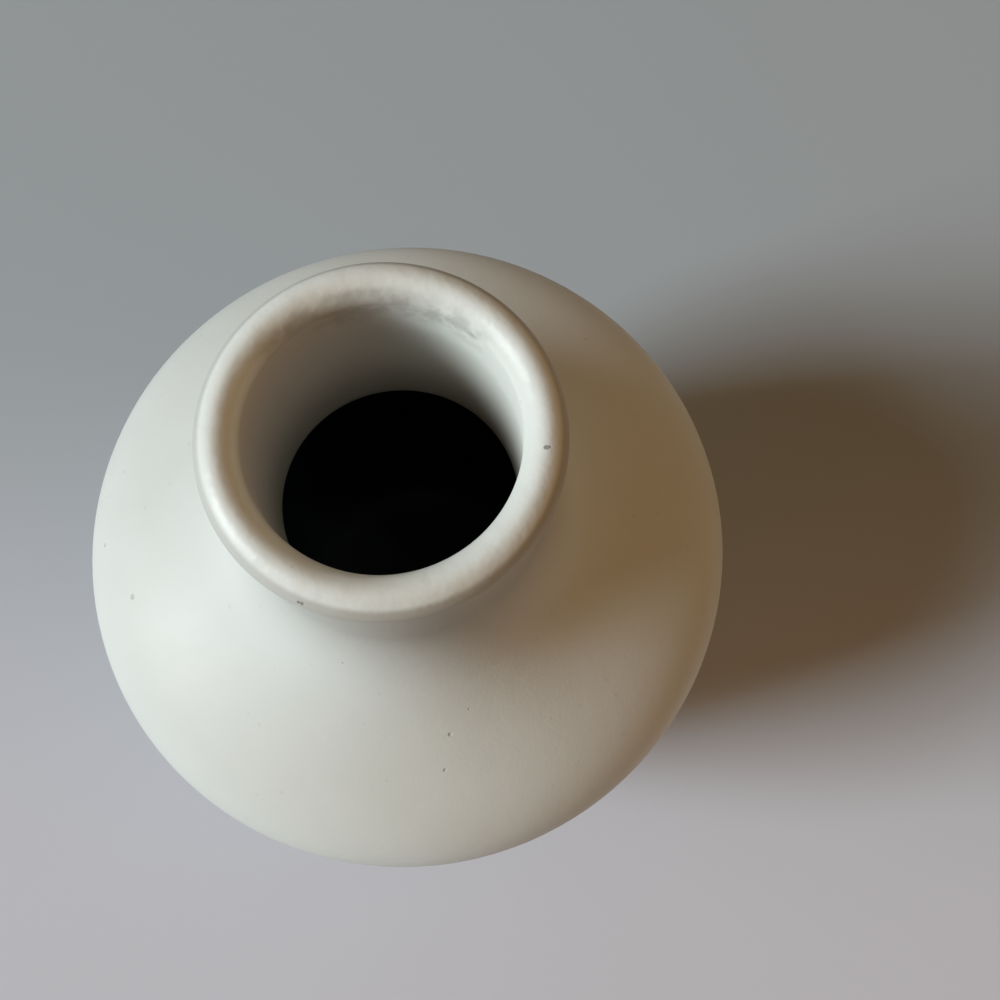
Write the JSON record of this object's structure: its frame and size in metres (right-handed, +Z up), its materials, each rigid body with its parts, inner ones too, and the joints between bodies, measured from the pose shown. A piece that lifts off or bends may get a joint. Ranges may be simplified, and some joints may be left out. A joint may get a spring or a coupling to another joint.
{
  "type": "bud vase",
  "caption": "Small glazed stoneware bud vase with a round belly, sloping shoulder, short neck and rolled lip, standing on a dry foot ring.",
  "frame": {"origin": "centre of the foot ring, on the surface that the vase stands on", "axes": "+Z up along the axis that the vase is turned about; X and Y are alike"},
  "size_m": [0.088, 0.088, 0.1142],
  "materials": {
    "fired_clay": "bare matte stoneware, buff",
    "cream_glaze": "satin matte cream glaze with fine specks and pinholes",
    "dark_glaze": "blue-black liner glaze, semi-gloss"
  },
  "bodies": {
    "root": {"vase_body": "fired_clay", "outer_glaze": "cream_glaze", "liner_glaze": "dark_glaze", "base_glaze": "cream_glaze"}
  },
  "joints": []
}
